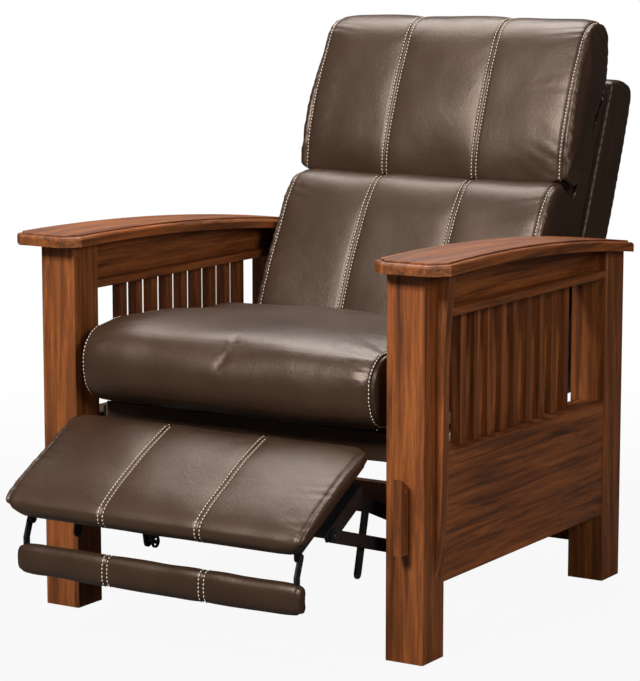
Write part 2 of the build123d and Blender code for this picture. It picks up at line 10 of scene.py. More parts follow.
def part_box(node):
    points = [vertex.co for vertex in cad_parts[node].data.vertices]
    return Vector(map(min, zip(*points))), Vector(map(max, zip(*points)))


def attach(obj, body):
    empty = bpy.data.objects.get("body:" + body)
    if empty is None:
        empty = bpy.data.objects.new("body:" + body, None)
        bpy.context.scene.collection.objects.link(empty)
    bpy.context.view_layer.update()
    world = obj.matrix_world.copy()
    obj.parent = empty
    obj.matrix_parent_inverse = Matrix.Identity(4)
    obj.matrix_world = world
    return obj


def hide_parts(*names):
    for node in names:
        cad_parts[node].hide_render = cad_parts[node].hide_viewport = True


bl_info = {
    "name": "Mission recliner",
    "version": (1, 0, 0),
    "blender": (4, 5, 0),
    "location": "View3D > Sidebar > Recliner",
    "description": "Finishes a mission reclining armchair in stained oak and brown leather",
    "category": "Object",
}

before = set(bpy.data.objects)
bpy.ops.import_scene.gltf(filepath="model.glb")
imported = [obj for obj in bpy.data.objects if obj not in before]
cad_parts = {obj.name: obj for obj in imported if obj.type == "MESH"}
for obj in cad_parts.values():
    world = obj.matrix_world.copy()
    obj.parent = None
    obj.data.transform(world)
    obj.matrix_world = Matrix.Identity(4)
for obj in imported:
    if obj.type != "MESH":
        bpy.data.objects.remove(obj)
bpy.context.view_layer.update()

# Lengths along Y are counted from the front face of the front posts, as in the frame's source
FACE_Y = -0.368
SEAM_X = 0.095
PAD_REAR_EDGE = (-0.024, 0.356)
PAD_SLOPE = radians(28.5)
SHELL_FOOT = (0.641, 0.325)
SHELL_LEAN = tan(radians(22.35))


def point(y, z, x=0.0):
    """A point of the side view, y from the posts' face, in the frame."""
    return Vector((x, y + FACE_Y, z))


def on_pad(along, depth):
    """A point of the footrest's section, along its top from the rear edge and depth below it."""
    y = PAD_REAR_EDGE[0] - along * cos(PAD_SLOPE) + depth * sin(PAD_SLOPE)
    z = PAD_REAR_EDGE[1] - along * sin(PAD_SLOPE) - depth * cos(PAD_SLOPE)
    return (y, z)


def shell_front(z, gap=0.0):
    """Where the shell's front face lies at height z, less a gap."""
    return SHELL_FOOT[0] + (z - SHELL_FOOT[1]) * SHELL_LEAN - gap


def share(value, start, length):
    """How far a value has come from start along a length, from 0 to 1."""
    return min(max((value - start) / length, 0.0), 1.0)


# Settings that a user would change

class OakSettings(bpy.types.PropertyGroup):
    light: FloatVectorProperty(
        name="Early wood", description="Colour of the pale streaks", subtype="COLOR",
        default=(0.42, 0.155, 0.036), size=3)
    middle: FloatVectorProperty(
        name="Stain", description="Main colour of the stained oak", subtype="COLOR",
        default=(0.205, 0.067, 0.0155), size=3)
    dark: FloatVectorProperty(
        name="Pores", description="Colour of the dark pores", subtype="COLOR",
        default=(0.050, 0.017, 0.005), size=3)
    streak: FloatProperty(
        name="Streak width", description="Width of one band of the grain", default=0.011,
        unit="LENGTH")


class LeatherSettings(bpy.types.PropertyGroup):
    base: FloatVectorProperty(
        name="Leather", description="Main colour of the leather", subtype="COLOR",
        default=(0.031, 0.0152, 0.0082), size=3)
    worn: FloatVectorProperty(
        name="Worn leather", description="Colour where the finish is rubbed", subtype="COLOR",
        default=(0.054, 0.029, 0.0170), size=3)
    pebble: FloatProperty(
        name="Pebble", description="Size of one cell of the leather's grain", default=0.0016,
        unit="LENGTH")


class StitchSettings(bpy.types.PropertyGroup):
    thread: FloatVectorProperty(
        name="Thread", description="Colour of the seams' thread", subtype="COLOR",
        default=(0.84, 0.73, 0.59), size=3)
    length: FloatProperty(
        name="Stitch", description="Length of one stitch", default=0.0054, unit="LENGTH")
    gap: FloatProperty(
        name="Gap", description="Gap between two stitches", default=0.0012, unit="LENGTH")
    spread: FloatProperty(
        name="Spread", description="Distance between the two rows of a double seam",
        default=0.010, unit="LENGTH")


class StudioSettings(bpy.types.PropertyGroup):
    floor: FloatVectorProperty(
        name="Floor", description="Colour of the floor", subtype="COLOR",
        default=(0.14, 0.135, 0.13), size=3)
    key: FloatProperty(name="Key", description="Power of the key lamp in watts", default=200.0)
    top: FloatProperty(name="Top", description="Power of the overhead lamp in watts", default=85.0)
    fill: FloatProperty(name="Fill", description="Power of the fill lamp in watts", default=50.0)


# Materials

class Nodes:
    """A short way to add and join shader nodes."""

    def __init__(self, name):
        self.material = bpy.data.materials.new(name)
        self.material.use_nodes = True
        self.tree = self.material.node_tree
        self.shader = self.tree.nodes["Principled BSDF"]

    def add(self, kind, inputs=None, **settings):
        node = self.tree.nodes.new(kind)
        for key, value in settings.items():
            setattr(node, key, value)
        for key, value in (inputs or {}).items():
            if isinstance(value, bpy.types.NodeSocket):
                self.tree.links.new(value, node.inputs[key])
            else:
                node.inputs[key].default_value = value
        return node

    def coordinates(self, scale, turn=(0.0, 0.0, 0.0), shift=(0.0, 0.0, 0.0)):
        source = self.add("ShaderNodeTexCoord")
        return self.add("ShaderNodeMapping", {
            "Vector": source.outputs["Object"], "Scale": scale, "Rotation": turn,
            "Location": shift}).outputs["Vector"]

    def noise(self, vector, scale, detail=3.0, rough=0.5, distortion=0.0):
        return self.add("ShaderNodeTexNoise", {
            "Vector": vector, "Scale": scale, "Detail": detail, "Roughness": rough,
            "Distortion": distortion}).outputs["Fac"]

    def ramp(self, factor, stops):
        node = self.add("ShaderNodeValToRGB", {"Fac": factor})
        elements = node.color_ramp.elements
        while len(elements) < len(stops):
            elements.new(0.5)
        for element, (place, color) in zip(elements, stops):
            element.position = place
            element.color = (*color, 1.0)
        return node.outputs["Color"]

    def mix(self, factor, first, second, blend="MIX"):
        node = self.add("ShaderNodeMix", data_type="RGBA", blend_type=blend)
        for key, value in (("Factor", factor), ("A", first), ("B", second)):
            socket = next(s for s in node.inputs if s.name == key and s.enabled)
            if isinstance(value, bpy.types.NodeSocket):
                self.tree.links.new(value, socket)
            elif key == "Factor":
                socket.default_value = value
            else:
                socket.default_value = (*value, 1.0)
        return next(s for s in node.outputs if s.enabled)

    def range(self, factor, low, high):
        return self.add("ShaderNodeMapRange", {
            "Value": factor, "To Min": low, "To Max": high}).outputs["Result"]

    def bump(self, height, distance, strength=1.0, normal=None):
        inputs = {"Height": height, "Distance": distance, "Strength": strength}
        if normal is not None:
            inputs["Normal"] = normal
        return self.add("ShaderNodeBump", inputs).outputs["Normal"]

    def finish(self, color=None, roughness=None, normal=None, **fixed):
        for key, value in (("Base Color", color), ("Roughness", roughness), ("Normal", normal)):
            if isinstance(value, bpy.types.NodeSocket):
                self.tree.links.new(value, self.shader.inputs[key])
            elif value is not None:
                plain = (*value, 1.0) if key == "Base Color" else value
                self.shader.inputs[key].default_value = plain
        for key, value in fixed.items():
            self.shader.inputs[key.replace("_", " ")].default_value = value
        return self.material


GRAIN_STRETCH = 0.05


def stained_oak(name, axis, seed):
    """Stained oak with its grain along axis. The seed moves the pattern, so boards differ."""
    oak = bpy.context.scene.recliner_oak
    n = Nodes(name)
    stretch = Vector((1.0, 1.0, 1.0))
    stretch["XYZ".index(axis)] = GRAIN_STRETCH
    shift = (0.37 * seed, 0.61 * seed, 0.23 * seed)
    grain = n.coordinates(stretch, shift=shift)
    drift = n.noise(grain, 6.0, 2.0)
    bands = n.noise(grain, 0.9 / oak.streak, 4.0, 0.62, 0.6)
    pores = n.noise(grain, 6.0 / oak.streak, 3.0, 0.7)
    board = n.coordinates((1.0, 1.0, 1.0), shift=shift)
    clouds = n.noise(board, 4.5, 2.0)
    color = n.ramp(bands, [(0.30, oak.dark), (0.45, oak.middle), (0.64, oak.light)])
    color = n.mix(n.range(pores, -0.9, 1.1), color, oak.dark, "MIX")
    color = n.mix(0.45, color, n.ramp(clouds, [(0.3, oak.middle), (0.7, oak.light)]), "OVERLAY")
    color = n.mix(n.range(drift, 0.0, 0.3), color, oak.middle)
    rough = n.range(pores, 0.42, 0.60)
    normal = n.bump(pores, 0.0004, 0.35, n.bump(bands, 0.0006, 0.25))
    return n.finish(color, rough, normal, Specular_IOR_Level=0.35, Coat_Weight=0.08,
                    Coat_Roughness=0.25)


def pale_timber(name, axis):
    """Plain unstained softwood or plywood of the hidden parts."""
    n = Nodes(name)
    stretch = Vector((1.0, 1.0, 1.0))
    stretch["XYZ".index(axis)] = GRAIN_STRETCH
    grain = n.coordinates(stretch)
    bands = n.noise(grain, 70.0, 3.0, 0.6, 0.4)
    color = n.ramp(bands, [(0.3, (0.30, 0.19, 0.10)), (0.7, (0.52, 0.37, 0.22))])
    return n.finish(color, 0.75, n.bump(bands, 0.0004, 0.4))


def brown_leather(name, seed=0.0):
    """Semi-gloss leather with a pebbled grain, soft dents and rubbed places."""
    leather = bpy.context.scene.recliner_leather
    n = Nodes(name)
    place = n.coordinates((1.0, 1.0, 1.0), shift=(seed, 0.4 * seed, 0.7 * seed))
    mottle = n.noise(place, 7.0, 4.0, 0.55)
    specks = n.noise(place, 90.0, 3.0, 0.6)
    color = n.mix(n.range(mottle, -0.5, 1.25), leather.base, leather.worn)
    color = n.mix(n.range(specks, 0.0, 0.35), color, leather.base)
    cells = n.add("ShaderNodeTexVoronoi", {
        "Vector": place, "Scale": 1.0 / leather.pebble, "Smoothness": 0.6},
        feature="SMOOTH_F1").outputs["Distance"]
    creases = n.noise(place, 26.0, 5.0, 0.6, 0.9)
    soft = n.noise(place, 9.0, 2.0)
    normal = n.bump(soft, 0.006, 0.30)
    normal = n.bump(creases, 0.0016, 0.30, normal)
    normal = n.bump(cells, 0.00035, 0.55, normal)
    rough = n.range(mottle, 0.32, 0.46)
    return n.finish(color, rough, normal, Specular_IOR_Level=0.60,
                    Specular_Tint=(1.0, 0.80, 0.66, 1.0))


def black_enamel(name):
    """Black stoved paint on pressed steel, a little dusty."""
    n = Nodes(name)
    place = n.coordinates((1.0, 1.0, 1.0))
    orange_peel = n.noise(place, 420.0, 2.0)
    dust = n.noise(place, 30.0, 4.0, 0.6)
    color = n.ramp(dust, [(0.35, (0.008, 0.008, 0.009)), (0.8, (0.030, 0.028, 0.027))])
    return n.finish(color, n.range(dust, 0.34, 0.58), n.bump(orange_peel, 0.0002, 0.4),
                    Metallic=0.25)


def zinc_steel(name):
    """Zinc-plated steel with a faint drawn texture."""
    n = Nodes(name)
    place = n.coordinates((1.0, 1.0, 1.0))
    patches = n.noise(place, 60.0, 4.0, 0.6)
    scratches = n.noise(n.coordinates((1.0, 0.08, 1.0)), 900.0, 2.0)
    color = n.ramp(patches, [(0.3, (0.42, 0.42, 0.40)), (0.7, (0.62, 0.61, 0.57))])
    return n.finish(color, n.range(patches, 0.28, 0.45), n.bump(scratches, 0.0001, 0.3),
                    Metallic=1.0)


def moulded_plastic(name, color):
    """Moulded nylon with a fine matt texture."""
    n = Nodes(name)
    place = n.coordinates((1.0, 1.0, 1.0))
    texture = n.noise(place, 700.0, 2.0)
    shade = n.noise(place, 25.0, 2.0)
    darker = tuple(0.8 * c for c in color)
    tint = n.ramp(shade, [(0.35, darker), (0.65, color)])
    return n.finish(tint, n.range(texture, 0.5, 0.65), n.bump(texture, 0.0001, 0.4))


def seam_thread(name):
    """Waxed linen thread, twisted along each stitch."""
    stitch = bpy.context.scene.recliner_stitch
    n = Nodes(name)
    place = n.coordinates((1.0, 1.0, 1.0))
    fibres = n.noise(place, 1500.0, 2.0)
    dirt = n.noise(place, 40.0, 2.0)
    darker = tuple(0.62 * c for c in stitch.thread)
    color = n.mix(n.range(fibres, 0.0, 0.6), stitch.thread, darker)
    color = n.mix(n.range(dirt, 0.0, 0.5), color, darker)
    return n.finish(color, 0.7, n.bump(fibres, 0.0002, 0.5))


def paint(node, material):
    """Gives a carried-over node one finish."""
    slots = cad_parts[node].data.materials
    slots.clear()
    slots.append(material)


def both(name):
    return [f"{name}_left", f"{name}_right"]


# Making and finishing meshes

def add_piece(name, bm, material, body):
    """Turns a bmesh into a piece that rides on a body."""
    mesh = bpy.data.meshes.new(name)
    bm.to_mesh(mesh)
    bm.free()
    mesh.materials.append(material)
    piece = bpy.data.objects.new(name, mesh)
    bpy.context.scene.collection.objects.link(piece)
    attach(piece, body)
    return piece


def smooth(piece):
    for face in piece.data.polygons:
        face.use_smooth = True


def apply_modifiers(piece):
    """Puts what the modifiers make into the mesh and drops them."""
    graph = bpy.context.evaluated_depsgraph_get()
    graph.update()
    made = bpy.data.meshes.new_from_object(piece.evaluated_get(graph))
    piece.modifiers.clear()
    old = piece.data
    piece.data = made
    bpy.data.meshes.remove(old)


def profile_edges(bm, points):
    """Draws a closed outline in the side plane. A third value of True marks a corner."""
    curve = bpy.data.curves.new("outline", "CURVE")
    curve.dimensions = "3D"
    curve.resolution_u = 8
    spline = curve.splines.new("BEZIER")
    spline.bezier_points.add(len(points) - 1)
    spline.use_cyclic_u = True
    for knot, (y, z, corner) in zip(spline.bezier_points, points):
        knot.co = point(y, z)
        knot.handle_left_type = knot.handle_right_type = "VECTOR" if corner else "AUTO"
    holder = bpy.data.objects.new("outline", curve)
    bpy.context.scene.collection.objects.link(holder)
    graph = bpy.context.evaluated_depsgraph_get()
    graph.update()
    mesh = bpy.data.meshes.new_from_object(holder.evaluated_get(graph))
    bm.from_mesh(mesh)
    bpy.data.objects.remove(holder)
    bpy.data.curves.remove(curve)
    bpy.data.meshes.remove(mesh)
    bmesh.ops.remove_doubles(bm, verts=bm.verts, dist=1e-5)
    return bm.edges[:]


def lofted(points, stations):
    """A closed body with this side outline, from its right end to its left end.
    Each station is (x, how far the outline is drawn in towards its middle)."""
    bm = bmesh.new()
    edges = profile_edges(bm, points)
    middle = sum((v.co for v in bm.verts), Vector()) / len(bm.verts)
    stops = [(-x, inset) for x, inset in reversed(stations) if x] + list(stations)
    reach = sum((v.co - middle).length for v in bm.verts) / len(bm.verts)
    x_now, scale_now = 0.0, 1.0
    loops = []
    for x, inset in stops:
        scale = 1.0 - inset / reach
        if loops:
            made = bmesh.ops.extrude_edge_only(bm, edges=edges)["geom"]
            edges = [g for g in made if isinstance(g, bmesh.types.BMEdge)
                     and abs(g.verts[0].co.x - g.verts[1].co.x) < 1e-7
                     and g not in loops[-1]]
            verts = list({v for e in edges for v in e.verts})
        else:
            verts = bm.verts[:]
        ratio = scale / scale_now
        bmesh.ops.translate(bm, verts=verts, vec=(x - x_now, 0, 0))
        bmesh.ops.scale(bm, verts=verts, vec=(1.0, ratio, ratio),
                        space=Matrix.Translation(-middle))
        x_now, scale_now = x, scale
        loops.append(edges)
    for loop in (loops[0], loops[-1]):
        bmesh.ops.contextual_create(bm, geom=loop)
    bmesh.ops.recalc_face_normals(bm, faces=bm.faces)
    return bm


def remesh(piece, voxel):
    modifier = piece.modifiers.new("remesh", "REMESH")
    modifier.mode = "VOXEL"
    modifier.voxel_size = voxel
    apply_modifiers(piece)


def hold_group(piece, hold):
    """Weights of the points that the pressure doesn't move."""
    group = piece.vertex_groups.new(name="hold")
    for vertex in piece.data.vertices:
        weight = hold(vertex.co)
        if weight > 0:
            group.add([vertex.index], weight, "REPLACE")


FRAMES = 20


def inflate(piece, pressure, cap, hold):
    """Lets the cover swell under pressure, with its seams held, and limits how far it moves."""
    start = [v.co.copy() for v in piece.data.vertices]
    hold_group(piece, hold)
    cloth = piece.modifiers.new("cover", "CLOTH")
    cloth.settings.use_pressure = True
    cloth.settings.uniform_pressure_force = pressure
    cloth.settings.effector_weights.gravity = 0.0
    cloth.settings.mass = 0.25
    cloth.settings.tension_stiffness = 14.0
    cloth.settings.compression_stiffness = 10.0
    cloth.settings.shear_stiffness = 6.0
    cloth.settings.bending_stiffness = 0.6
    cloth.settings.quality = 4
    cloth.settings.vertex_group_mass = "hold"
    cloth.collision_settings.use_collision = False
    cloth.point_cache.frame_start = 1
    cloth.point_cache.frame_end = FRAMES
    for step in range(1, FRAMES + 1):
        bpy.context.scene.frame_set(step)
    apply_modifiers(piece)
    bpy.context.scene.frame_set(1)
    for vertex, before in zip(piece.data.vertices, start):
        moved = vertex.co - before
        if moved.length > cap:
            vertex.co = before + moved * (cap / moved.length)
    piece.vertex_groups.clear()


def refine(piece, rounds=1):
    """One more subdivision, which also smooths the swollen cover."""
    modifier = piece.modifiers.new("refine", "SUBSURF")
    modifier.levels = modifier.render_levels = rounds
    apply_modifiers(piece)
    smooth(piece)


def displace(piece, amount):
    """Moves each point along its own normal by amount(place, normal)."""
    mesh = piece.data
    normals = [v.normal.copy() for v in mesh.vertices]
    for vertex, normal in zip(mesh.vertices, normals):
        vertex.co += normal * amount(vertex.co, normal)
    mesh.update()


SEAM_WIDTH = 0.0055
SEAM_DEPTH = 0.0042


def seam_sink(distance, depth=SEAM_DEPTH, width=SEAM_WIDTH):
    """How far a seam draws the cover in at this distance from its line."""
    groove = exp(-(distance / width) ** 2)
    slope = 0.35 * exp(-(distance / (4 * width)) ** 2)
    return -depth * groove - depth * slope


def side_pucker(place, edge_x, reach, height, wave, seed):
    """Short gathers that run in from a side seam."""
    away = edge_x - abs(place.x)
    if away < -0.03 or away > 3 * reach:
        return 0.0
    along = place.y * 0.8 + place.z
    drift = noise.noise(Vector((seed, along * 9.0, abs(place.x) * 4.0)))
    ridge = sin(2 * pi * (along / wave + 2.6 * drift))
    strength = 0.1 + 1.1 * abs(noise.noise(Vector((seed + 7.0, along * 14.0, 0.0))))
    return height * ridge * strength * exp(-(max(away, 0.0) / reach) ** 1.2)


def soft_dents(place, height, size, seed):
    """Slow hollows and swells of a sat-on cushion."""
    return height * noise.noise(place / size + Vector((seed, 0.0, 0.0)))


# Stitching

class Seamstress:
    """Finds places on a finished cover and sews rows of stitches there."""

    OUTSIDE = 0.9

    def __init__(self, piece, middle):
        bm = bmesh.new()
        bm.from_mesh(piece.data)
        self.tree = BVHTree.FromBMesh(bm)
        bm.free()
        self.middle = middle

    def touch(self, x, angle):
        """Where the cover lies in the section at x, seen from its middle at this angle."""
        away = Vector((0.0, cos(angle), sin(angle)))
        start = Vector((x, self.middle.y, self.middle.z)) + away * self.OUTSIDE
        place, normal, _, _ = self.tree.ray_cast(start, -away)
        return place, normal

    def row(self, places):
        """Evenly spaced stitches along places, each (point, normal)."""
        stitch = bpy.context.scene.recliner_stitch
        pitch = stitch.length + stitch.gap
        found = []
        carried = 0.0
        for (start, normal), (end, _) in zip(places, places[1:]):
            run = end - start
            while carried <= run.length:
                found.append((start + run * (carried / run.length), run.normalized(), normal))
                carried += pitch
            carried -= run.length
        return found


THREAD_HALF = (0.0011, 0.0009)
THREAD_LIFT = 0.0006


def sew(name, rows, material, body):
    """One piece that holds every stitch of these rows."""
    stitch = bpy.context.scene.recliner_stitch
    bm = bmesh.new()
    for row in rows:
        for place, along, normal in row:
            across = along.cross(normal).normalized()
            up = across.cross(along).normalized()
            turn = Matrix((along, across, up)).transposed().to_4x4()
            size = Matrix.Diagonal((stitch.length / 2, *THREAD_HALF, 1.0))
            spot = Matrix.Translation(place + up * THREAD_LIFT)
            bmesh.ops.create_icosphere(bm, subdivisions=1, radius=1.0, matrix=spot @ turn @ size)
    piece = add_piece(name, bm, material, body)
    smooth(piece)
    return piece


def section_row(tailor, x, first, last, steps=90):
    """A row round the section at x, between two angles in degrees."""
    places = []
    for step in range(steps + 1):
        angle = radians(first + (last - first) * step / steps)
        place, normal = tailor.touch(x, angle)
        if place is not None:
            places.append((place, normal))
    return tailor.row(places)


def double_seams(tailor, first, last):
    """Two rows beside each of the two seams that cross a cushion."""
    half = bpy.context.scene.recliner_stitch.spread / 2
    return [section_row(tailor, side * SEAM_X + offset, first, last)
            for side in (-1, 1) for offset in (-half, half)]


def side_seams(tailor, edge_x, first, last):
    """One row along each side edge of a cushion."""
    return [section_row(tailor, side * edge_x, first, last) for side in (-1, 1)]


def middle_of(points):
    return point(sum(p[0] for p in points) / len(points), sum(p[1] for p in points) / len(points))


def near_seams(place):
    """Distance to the nearer of the two seams that cross a cushion."""
    return abs(abs(place.x) - SEAM_X)


# Operators, one for each piece or group of like pieces

class RECLINER_OT_studio(bpy.types.Operator):
    """Floor, lamps and the camera at the photograph's viewpoint"""
    bl_idname = "recliner.studio"
    bl_label = "Studio"

    YAW = radians(31.96)
    PITCH = radians(8.87)
    STAND_OFF = 4.359
    STEP_RIGHT = 0.158
    STEP_UP = 0.496
    LENS = 137.0

    def camera(self, scene):
        level = cos(self.PITCH)
        back = Vector((sin(self.YAW) * level, -cos(self.YAW) * level, sin(self.PITCH)))
        right = Vector((cos(self.YAW), sin(self.YAW), 0.0))
        up = back.cross(right)
        data = bpy.data.cameras.new("view")
        data.lens = self.LENS
        data.sensor_width = 36.0
        data.clip_end = 60.0
        holder = bpy.data.objects.new("view", data)
        scene.collection.objects.link(holder)
        place = back * self.STAND_OFF + right * self.STEP_RIGHT + up * self.STEP_UP
        turn = Matrix((right, up, back)).transposed().to_4x4()
        holder.matrix_world = Matrix.Translation(place + Vector((0, FACE_Y, 0))) @ turn
        scene.camera = holder

    def lamp(self, scene, name, place, target, size, power):
        data = bpy.data.lights.new(name, "AREA")
        data.shape = "RECTANGLE"
        data.size, data.size_y = size
        data.energy = power
        holder = bpy.data.objects.new(name, data)
        scene.collection.objects.link(holder)
        aim = Vector(target) - Vector(place)
        turn = aim.to_track_quat("-Z", "Y").to_matrix().to_4x4()
        holder.matrix_world = Matrix.Translation(place) @ turn

    def floor(self, scene, studio):
        bm = bmesh.new()
        bmesh.ops.create_grid(bm, x_segments=1, y_segments=1, size=12.0)
        mesh = bpy.data.meshes.new("floor")
        bm.to_mesh(mesh)
        bm.free()
        ground = bpy.data.objects.new("floor", mesh)
        scene.collection.objects.link(ground)
        n = Nodes("floor_paint")
        n.shader.inputs["Base Color"].default_value = (*studio.floor, 1.0)
        n.shader.inputs["Roughness"].default_value = 0.9
        n.shader.inputs["Specular IOR Level"].default_value = 0.0
        glow = n.add("ShaderNodeEmission", {"Color": (1.0, 1.0, 1.0, 1.0), "Strength": 1.0})
        rays = n.add("ShaderNodeLightPath")
        place = n.add("ShaderNodeTexCoord").outputs["Object"]
        away = n.add("ShaderNodeVectorMath", {0: place}, operation="LENGTH").outputs["Value"]
        fade = n.add("ShaderNodeMapRange", {
            "Value": away, "From Min": 0.9, "From Max": 2.4, "To Min": 0.93, "To Max": 1.0})
        seen = n.add("ShaderNodeMath", {
            0: rays.outputs["Is Camera Ray"], 1: fade.outputs["Result"]}, operation="MULTIPLY")
        mixed = n.add("ShaderNodeMixShader", {
            "Fac": seen.outputs["Value"], 1: n.shader.outputs["BSDF"],
            2: glow.outputs["Emission"]})
        n.tree.links.new(mixed.outputs["Shader"], n.tree.nodes["Material Output"].inputs["Surface"])
        mesh.materials.append(n.material)

    def sky(self, scene):
        world = bpy.data.worlds.new("studio")
        scene.world = world
        world.use_nodes = True
        tree = world.node_tree
        light = tree.nodes["Background"]
        light.inputs["Color"].default_value = (1.0, 0.95, 0.90, 1.0)
        light.inputs["Strength"].default_value = 0.06
        seen = tree.nodes.new("ShaderNodeBackground")
        seen.inputs["Color"].default_value = (1.0, 1.0, 1.0, 1.0)
        seen.inputs["Strength"].default_value = 1.0
        rays = tree.nodes.new("ShaderNodeLightPath")
        mixed = tree.nodes.new("ShaderNodeMixShader")
        tree.links.new(rays.outputs["Is Camera Ray"], mixed.inputs["Fac"])
        tree.links.new(light.outputs["Background"], mixed.inputs[1])
        tree.links.new(seen.outputs["Background"], mixed.inputs[2])
        tree.links.new(mixed.outputs["Shader"], tree.nodes["World Output"].inputs["Surface"])

    def execute(self, context):
        scene = context.scene
        studio = scene.recliner_studio
        scene.view_settings.view_transform = "Standard"
        self.camera(scene)
        self.floor(scene, studio)
        self.sky(scene)
        middle = (0.0, 0.0, 0.5)
        self.lamp(scene, "key", (-0.30, -3.3, 3.1), middle, (1.1, 1.0), studio.key)
        self.lamp(scene, "top", (-0.8, 0.9, 3.0), middle, (2.0, 1.6), studio.top)
        self.lamp(scene, "fill", (3.2, -1.6, 1.9), middle, (1.2, 1.2), studio.fill)
        return {"FINISHED"}


class RECLINER_OT_woodwork(bpy.types.Operator):
    """Stained oak on the frame and bare timber on the hidden rails"""
    bl_idname = "recliner.woodwork"
    bl_label = "Woodwork"

    UPRIGHT = ["front_post", "rear_post", "slats", "corbel"]
    ALONG = ["side_panel", "lower_rail", "upper_rail", "arm_apron", "arm_board"]
    ACROSS = ["seat_front_rail", "seat_rear_rail", "footrest_board", "flipper_board", "back_panel"]

    def execute(self, context):
        seed = 1.0
        for axis, names in (("Z", self.UPRIGHT), ("Y", self.ALONG)):
            for name in names:
                for node in both(name):
                    paint(node, stained_oak(f"oak_{node}", axis, seed))
                    seed += 1.3
        paint("rear_stretcher", stained_oak("oak_stretcher", "X", seed))
        paint("release_lever", stained_oak("oak_lever", "Z", seed + 2.0))
        rail = pale_timber("poplar_y", "Y")
        cross = pale_timber("poplar_x", "X")
        paint("base_cleats", rail)
        paint("seat_side_rails", rail)
        for node in self.ACROSS:
            paint(node, cross)
        return {"FINISHED"}


# Pivots in side view, with the body that carries the stud and where its head lies
PIVOTS = [
    ("torque_end", (0.128, 0.337), "drive_links", 0.2945, 0.0125),
    ("rear_stud", (0.150, 0.301), "rear_links", 0.2995, 0.0065),
    ("cross_stud", (0.145, 0.197), "scissor_links", 0.2885, 0.0065),
    ("tail_stud", (0.191, 0.088), "rear_links", 0.2995, 0.0065),
    ("front_stud", (-0.127, 0.232), "footrest", 0.2950, 0.0065),
    ("recline_stud", (0.560, 0.395), "back", 0.2950, 0.0080),
]


class RECLINER_OT_metalwork(bpy.types.Operator):
    """Black enamel on the mechanism, zinc on its small parts, and domed rivet heads"""
    bl_idname = "recliner.metalwork"
    bl_label = "Metalwork"

    BLACK = ["base_rail", "seat_plate", "drive_link", "rear_link", "scissor_link", "stay_link",
             "footrest_bracket", "back_bracket"]
    HEAD = 0.0014

    def execute(self, context):
        enamel = black_enamel("black_enamel")
        zinc = zinc_steel("zinc")
        for name in self.BLACK:
            for node in both(name):
                paint(node, enamel)
        for node in ("base_cross_tube", "torque_tube", "flipper_straps"):
            paint(node, enamel)
        for node in ("rail_bolts", "lever_pin", "lever_ear", "slide_studs", "seat_springs"):
            paint(node, zinc)
        paint("slide_bushes", moulded_plastic("white_nylon", (0.70, 0.69, 0.64)))
        paint("floor_glides", moulded_plastic("black_nylon", (0.03, 0.03, 0.032)))
        for name, (y, z), body, face_x, radius in PIVOTS:
            bm = bmesh.new()
            for side in (-1, 1):
                place = Matrix.Translation(point(y, z, side * (face_x + self.HEAD / 2)))
                turn = Matrix.Rotation(side * pi / 2, 4, "Y")
                made = bmesh.ops.create_cone(
                    bm, cap_ends=True, segments=20, radius1=radius, radius2=0.72 * radius,
                    depth=self.HEAD, matrix=place @ turn)
                rim = {e for v in made["verts"] for e in v.link_edges}
                bmesh.ops.bevel(bm, geom=list(rim), offset=0.0003, segments=2, profile=0.5,
                                affect="EDGES", material=-1)
            add_piece(f"rivet_{name}", bm, enamel, body)
        return {"FINISHED"}


SEAT_OUTLINE = [
    (0.058, 0.368, True), (0.000, 0.380, False), (-0.024, 0.430, False), (-0.006, 0.488, False),
    (0.060, 0.510, False), (0.150, 0.512, False), (0.330, 0.500, False), (0.478, 0.470, False),
    (0.488, 0.425, False), (0.470, 0.372, True),
]
SEAT_EDGE = 0.289


class RECLINER_OT_seat(bpy.types.Operator):
    """Deep seat cushion with a rolled front"""
    bl_idname = "recliner.seat"
    bl_label = "Seat cushion"

    def execute(self, context):
        leather = brown_leather("leather_seat", 1.0)
        bm = lofted(SEAT_OUTLINE, [(0.0, 0.004), (0.20, 0.004), (0.270, 0.006), (0.289, 0.012),
                                   (0.294, 0.024)])
        piece = add_piece("seat_cover", bm, leather, "seat")
        remesh(piece, 0.0065)

        def hold(place):
            low = place.z < 0.380
            edge = abs(abs(place.x) - SEAT_EDGE) < 0.004
            return 1.0 if low or edge else 0.0

        inflate(piece, 4.0, 0.014, hold)
        refine(piece)

        def shape(place, normal):
            if place.z < 0.374:
                return 0.0
            away = SEAT_EDGE - abs(place.x)
            sink = seam_sink(away, 0.0040, 0.0045)
            gathers = side_pucker(place, SEAT_EDGE, 0.030, 0.0014, 0.034, 3.0)
            return sink + gathers + soft_dents(place, 0.0035, 0.13, 5.0)

        displace(piece, shape)
        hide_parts("seat_cushion")
        tailor = Seamstress(piece, middle_of(SEAT_OUTLINE))
        rows = side_seams(tailor, SEAT_EDGE - 0.006, 215, 20)
        sew("seat_stitching", rows, seam_thread("thread_seat"), "seat")

        bm = bmesh.new()
        low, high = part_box("front_band")
        size = high - low
        bmesh.ops.create_cube(bm, size=1.0, matrix=Matrix.Translation((low + high) / 2)
                              @ Matrix.Diagonal((*size, 1.0)))
        long_edges = [e for e in bm.edges if abs(e.verts[0].co.x - e.verts[1].co.x) > 0.1]
        bmesh.ops.subdivide_edges(bm, edges=long_edges, cuts=60, use_grid_fill=True)
        sharp_edges = [e for e in bm.edges if e.calc_face_angle(0.0) > 1.0]
        bmesh.ops.bevel(bm, geom=sharp_edges, offset=0.0015, segments=3, profile=0.5,
                        affect="EDGES", material=-1)
        band = add_piece("front_band_cover", bm, leather, "seat")
        smooth(band)
        displace(band, lambda place, normal: soft_dents(place, 0.0010, 0.05, 2.0))
        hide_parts("front_band")
        return {"FINISHED"}


